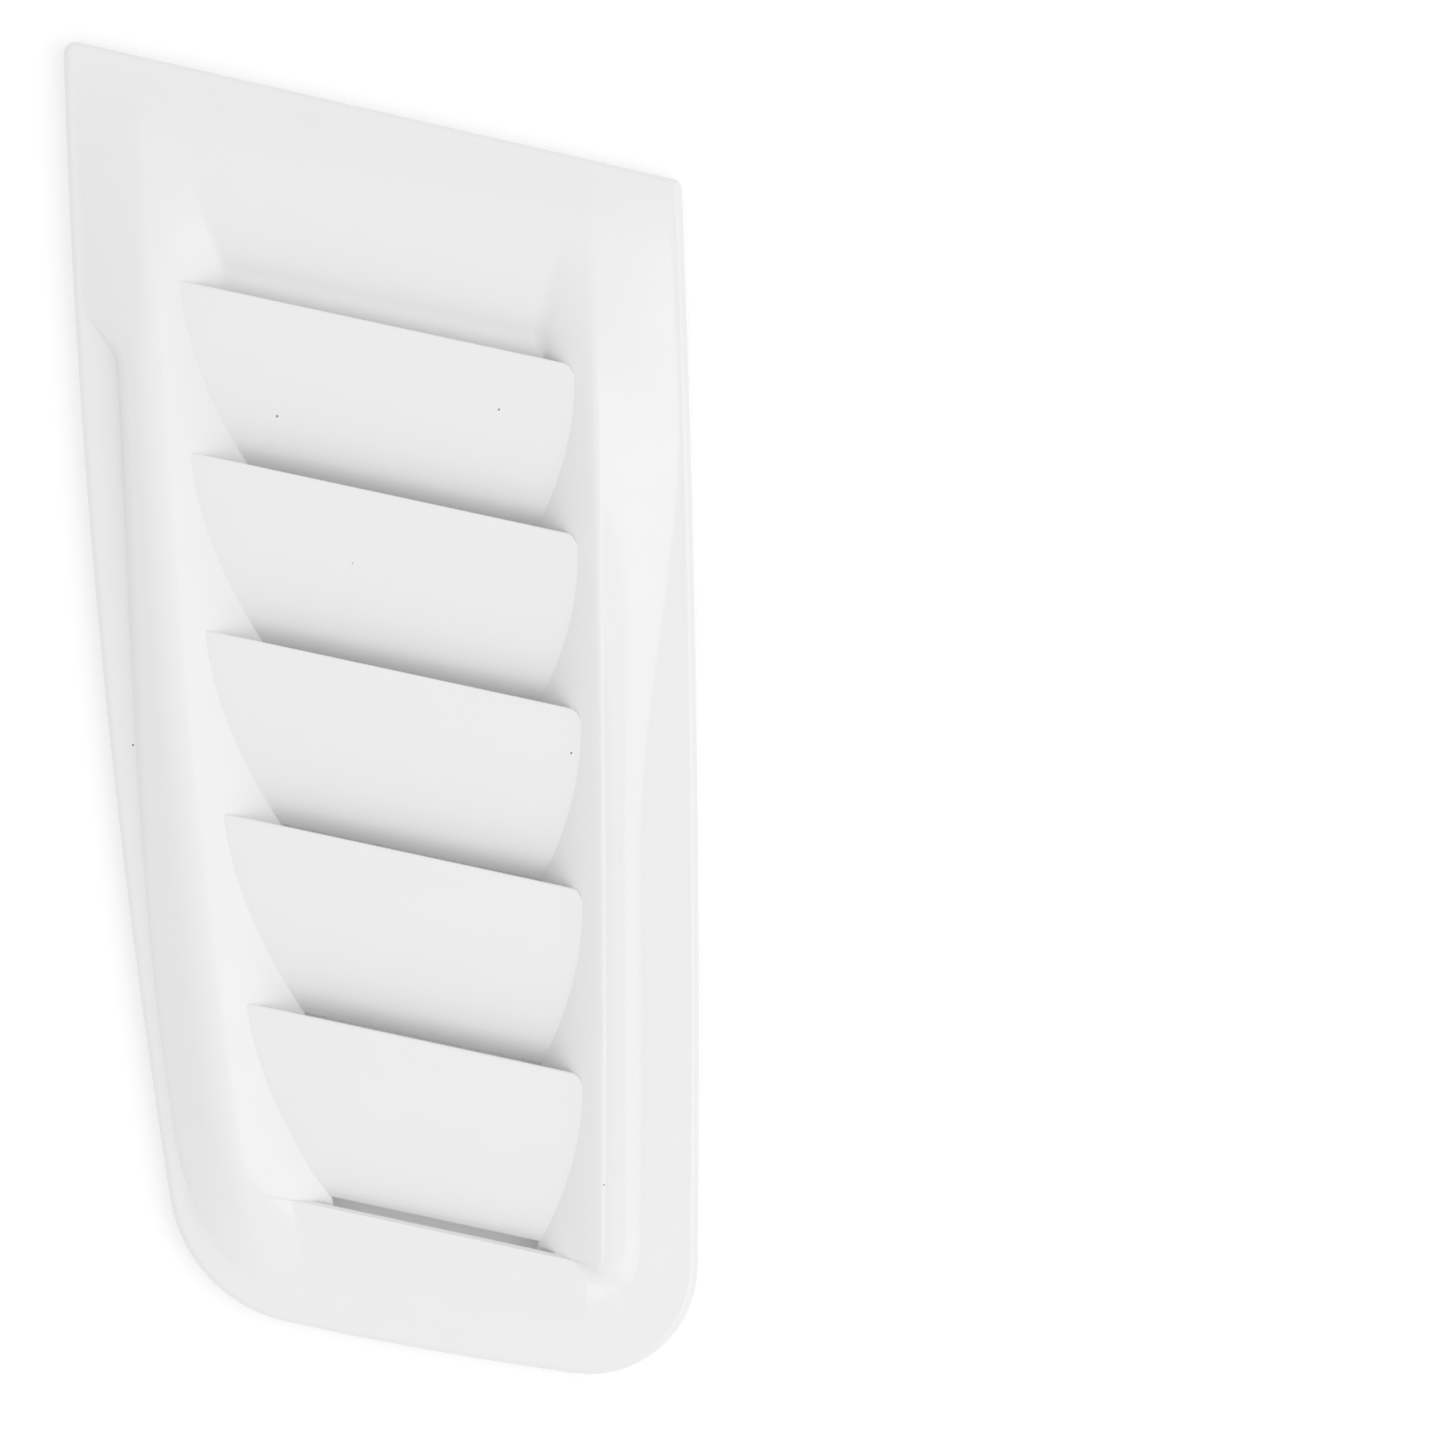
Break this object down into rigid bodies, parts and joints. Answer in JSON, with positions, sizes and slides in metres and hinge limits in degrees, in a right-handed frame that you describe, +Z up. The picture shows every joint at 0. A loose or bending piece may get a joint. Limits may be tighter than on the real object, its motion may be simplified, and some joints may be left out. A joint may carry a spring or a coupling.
{
  "type": "car bonnet vent",
  "caption": "Left-hand bonnet vent: one glossy moulded panel with swept rear-facing louvre slats between two raised side ridges, on a turned-down rim.",
  "frame": {"origin": "Under the middle of the panel, on the plane that its rim stands on.", "axes": "+Y runs along the panel towards its rear edge, where the windscreen would be; +X is the car's right; +Z points up, out of the bonnet."},
  "size_m": [0.1947, 0.4085, 0.0223],
  "materials": {
    "white_abs": "injection-moulded ABS, glossy white, smooth"
  },
  "bodies": {
    "root": {"vent_panel": "white_abs"}
  },
  "joints": []
}
